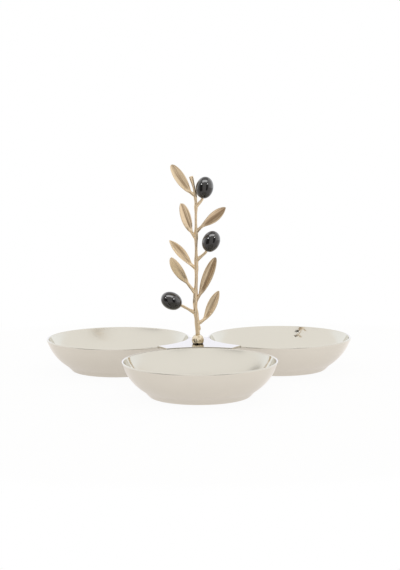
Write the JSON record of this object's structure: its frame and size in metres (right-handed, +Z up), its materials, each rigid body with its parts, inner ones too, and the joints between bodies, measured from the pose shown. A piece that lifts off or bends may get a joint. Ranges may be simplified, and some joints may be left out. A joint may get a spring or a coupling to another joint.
{
  "type": "olive dish",
  "caption": "Olive dish: round bright-metal bowls set in a trefoil, joined at the rims by a small plate that carries an upright brass olive branch as the handle",
  "frame": {"origin": "Middle of the footprint, on the table", "axes": "+X to the right across the two rear bowls, +Y to the back, away from the front bowl, +Z up along the branch"},
  "size_m": [0.314, 0.2918, 0.2129],
  "materials": {
    "nickel": "mirror-bright nickel plate",
    "brass": "satin pale brass, cast",
    "polished_brass": "mirror-polished brass",
    "olive_black": "glossy black",
    "steel": "plain steel"
  },
  "bodies": {
    "root": {"bowl_front": "nickel", "bowl_left": "nickel", "bowl_right": "nickel", "centre_plate": "nickel", "base_ball": "polished_brass", "fixing_screw": "steel", "screw_washer": "steel", "stem": "brass", "leaf_1": "brass", "leaf_2": "brass", "leaf_3": "brass", "leaf_4": "brass", "leaf_5": "brass", "leaf_6": "brass", "leaf_7": "brass", "olive_stalk_1": "brass", "olive_stalk_2": "brass", "olive_stalk_3": "brass", "olive_1": "olive_black", "olive_2": "olive_black", "olive_3": "olive_black"}
  },
  "joints": []
}
